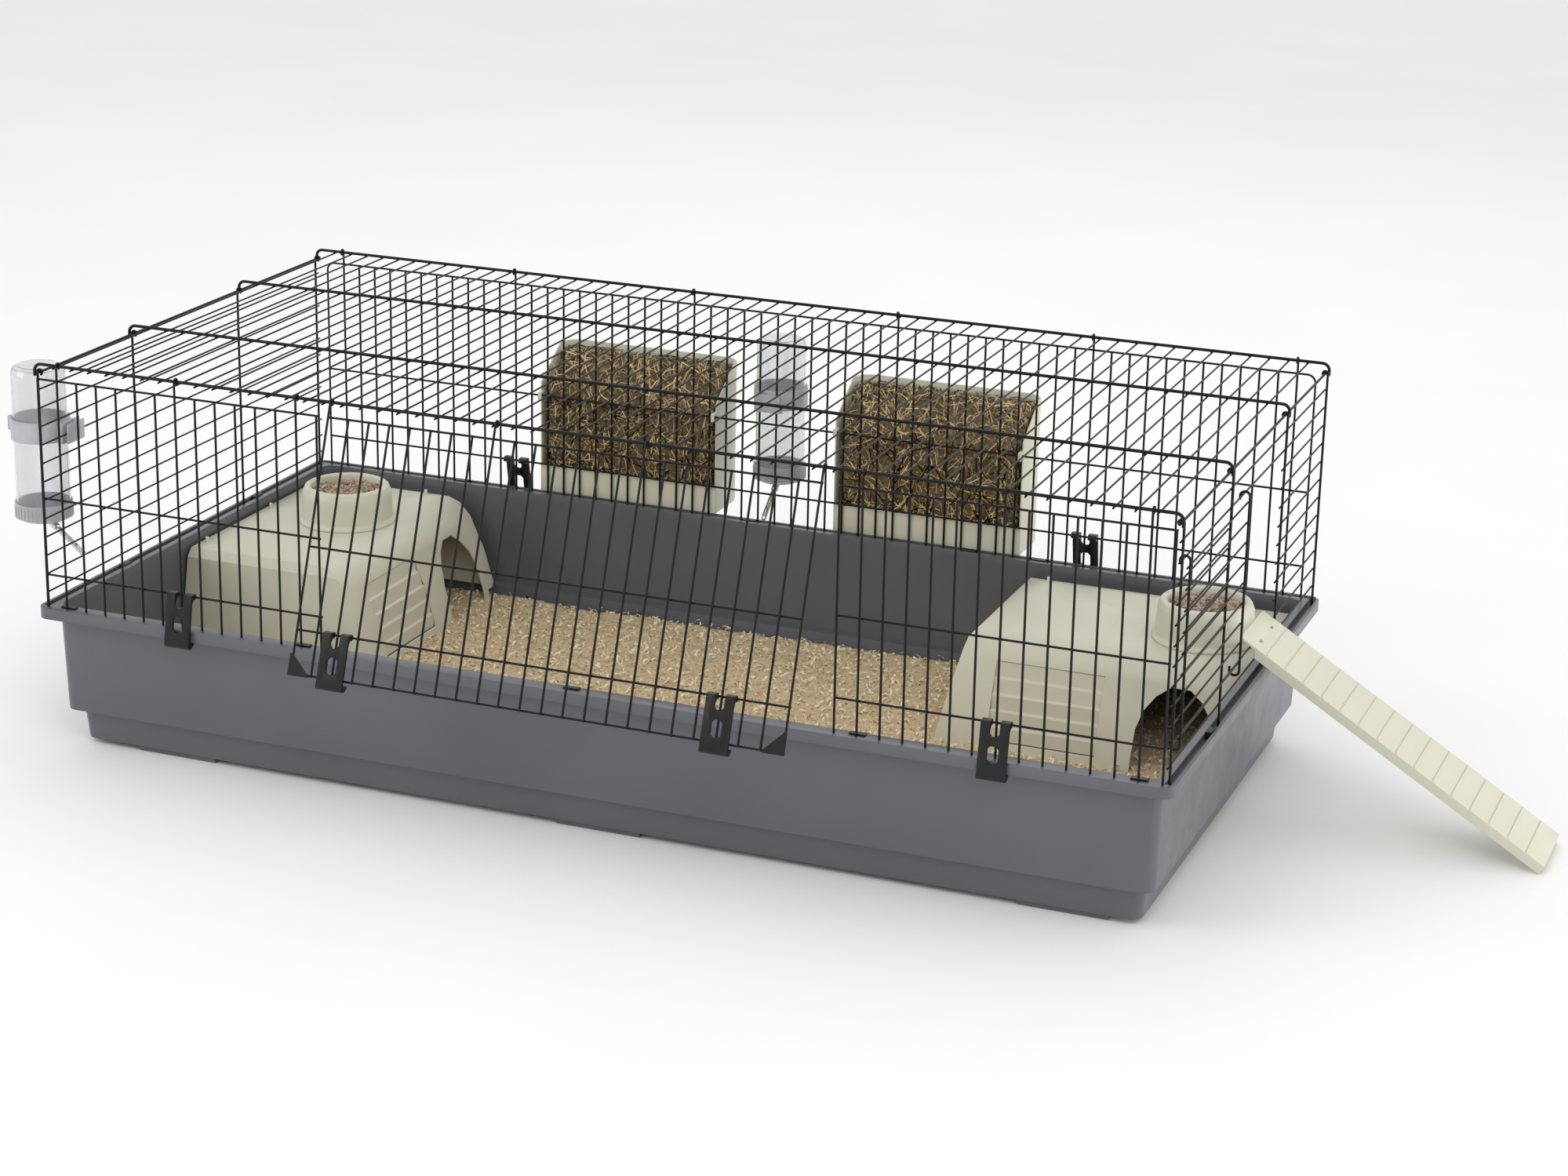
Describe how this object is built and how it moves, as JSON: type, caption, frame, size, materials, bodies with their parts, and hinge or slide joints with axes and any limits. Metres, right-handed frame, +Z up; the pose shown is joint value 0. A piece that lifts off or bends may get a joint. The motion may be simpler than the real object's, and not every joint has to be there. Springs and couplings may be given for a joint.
{
  "type": "indoor rabbit cage",
  "caption": "Long wire rabbit cage on a deep plastic tray, with a top-hinged front door, sliding side door and ramp, hay racks, bottles, hideouts and bowls.",
  "frame": {"origin": "on the floor under the middle of the tray", "axes": "+X along the cage's length towards the ramp, -Y the side of the front door, +Z up"},
  "size_m": [2.109, 1.0135, 0.5585],
  "materials": {
    "black_wire": "satin black coating on round wire",
    "tray_plastic": "fine-grained dark blue-grey moulding",
    "black_plastic": "satin moulding",
    "cream_plastic": "satin cream moulding",
    "clear_plastic": "clear, slightly frosted",
    "grey_plastic": "satin moulding",
    "steel": "drawn tube",
    "hay": "dry stalks",
    "pellets": "pressed feed",
    "bedding": "curled wood shavings"
  },
  "bodies": {
    "cage": {"tray": "tray_plastic", "rim_blocks": "black_plastic", "front_rim_tabs": "black_plastic", "roof_outer_bars": "black_wire", "roof_inner_bars": "black_wire", "roof_cross_wires": "black_wire", "roof_end_wires": "black_wire", "back_uprights": "black_wire", "back_hook_uprights_right": "black_wire", "back_hook_uprights_left": "black_wire", "back_frame_wire": "black_wire", "back_rails": "black_wire", "front_left_uprights": "black_wire", "front_left_hook_uprights": "black_wire", "front_left_rails": "black_wire", "front_right_uprights": "black_wire", "front_right_hook_uprights": "black_wire", "front_right_rails": "black_wire", "left_side_front_uprights": "black_wire", "left_side_back_uprights": "black_wire", "left_side_rows": "black_wire", "right_side_front_uprights": "black_wire", "right_side_back_uprights": "black_wire", "right_side_rows": "black_wire", "right_side_front_rows": "black_wire", "right_side_back_rows": "black_wire", "left_bottle_cap": "grey_plastic", "left_bottle_holder": "grey_plastic", "left_bottle_spout": "steel", "back_bottle_cap": "grey_plastic", "back_bottle_holder": "grey_plastic", "back_bottle_spout": "steel", "right_hideout": "cream_plastic", "left_hideout": "cream_plastic", "bedding": "bedding"},
    "front_door": {"door_uprights": "black_wire", "door_outer_hook_uprights": "black_wire", "door_inner_hook_uprights": "black_wire", "door_rails": "black_wire", "door_gussets": "black_plastic"},
    "door_left_latch": {"door_left_clip": "black_plastic"},
    "door_right_latch": {"door_right_clip": "black_plastic"},
    "front_left_latch": {"front_left_clip": "black_plastic"},
    "front_right_latch": {"front_right_clip": "black_plastic"},
    "back_left_latch": {"back_left_clip": "black_plastic"},
    "back_right_latch": {"back_right_clip": "black_plastic"},
    "side_door": {"side_door_posts": "black_wire", "side_door_rows": "black_wire"},
    "ladder": {"ramp": "cream_plastic"},
    "left_rack": {"left_hay_rack": "cream_plastic", "left_hay": "hay"},
    "right_rack": {"right_hay_rack": "cream_plastic", "right_hay": "hay"},
    "left_water_bottle": {"left_bottle": "clear_plastic"},
    "back_water_bottle": {"back_bottle": "clear_plastic"},
    "left_food_bowl": {"left_bowl": "cream_plastic", "left_pellets": "pellets"},
    "right_food_bowl": {"right_bowl": "cream_plastic", "right_pellets": "pellets"}
  },
  "joints": [
    {"name": "front_door_hinge", "type": "hinge", "parent": "cage", "child": "front_door", "pos_m": [0, -0.387, 0.553], "axis": [-1, 0, 0], "range_deg": [-17, 230]},
    {"name": "door_left_clip_pivot", "type": "hinge", "parent": "front_door", "child": "door_left_latch", "pos_m": [-0.285, -0.48822, 0.27112], "axis": [-1, 0, 0], "range_deg": [0, 100]},
    {"name": "door_right_clip_pivot", "type": "hinge", "parent": "front_door", "child": "door_right_latch", "pos_m": [0.255, -0.48822, 0.27112], "axis": [-1, 0, 0], "range_deg": [0, 100]},
    {"name": "front_left_clip_pivot", "type": "hinge", "parent": "cage", "child": "front_left_latch", "pos_m": [-0.5808, -0.3878, 0.2535], "axis": [-1, 0, 0], "range_deg": [0, 100]},
    {"name": "front_right_clip_pivot", "type": "hinge", "parent": "cage", "child": "front_right_latch", "pos_m": [0.5808, -0.3878, 0.2535], "axis": [-1, 0, 0], "range_deg": [0, 100]},
    {"name": "back_left_clip_pivot", "type": "hinge", "parent": "cage", "child": "back_left_latch", "pos_m": [-0.459, 0.3878, 0.2535], "axis": [1, 0, 0], "range_deg": [0, 100]},
    {"name": "back_right_clip_pivot", "type": "hinge", "parent": "cage", "child": "back_right_latch", "pos_m": [0.459, 0.3878, 0.2535], "axis": [1, 0, 0], "range_deg": [0, 100]},
    {"name": "side_door_slide", "type": "slide", "parent": "cage", "child": "side_door", "axis": [0, 1, 0], "range_m": [0, 0.085]},
    {"name": "ramp_hinge", "type": "hinge", "parent": "cage", "child": "ladder", "pos_m": [0.7979, 0.077, 0.2533], "axis": [0, -1, 0], "range_deg": [0, 117]},
    {"name": "left_rack_lift", "type": "slide", "parent": "cage", "child": "left_rack", "axis": [0, 0, 1], "range_m": [0, 0.1]},
    {"name": "right_rack_lift", "type": "slide", "parent": "cage", "child": "right_rack", "axis": [0, 0, 1], "range_m": [0, 0.1]},
    {"name": "left_bottle_twist", "type": "hinge", "parent": "cage", "child": "left_water_bottle", "pos_m": [-0.85255, -0.305, 0.3207], "axis": [0, 0, 1], "continuous": true},
    {"name": "back_bottle_twist", "type": "hinge", "parent": "cage", "child": "back_water_bottle", "pos_m": [-0.0405, 0.4424, 0.2783], "axis": [0, 0, 1], "continuous": true},
    {"name": "left_bowl_lift", "type": "slide", "parent": "cage", "child": "left_food_bowl", "axis": [0, 0, 1], "range_m": [0, 0.05]},
    {"name": "right_bowl_lift", "type": "slide", "parent": "cage", "child": "right_food_bowl", "axis": [0, 0, 1], "range_m": [0, 0.05]}
  ]
}
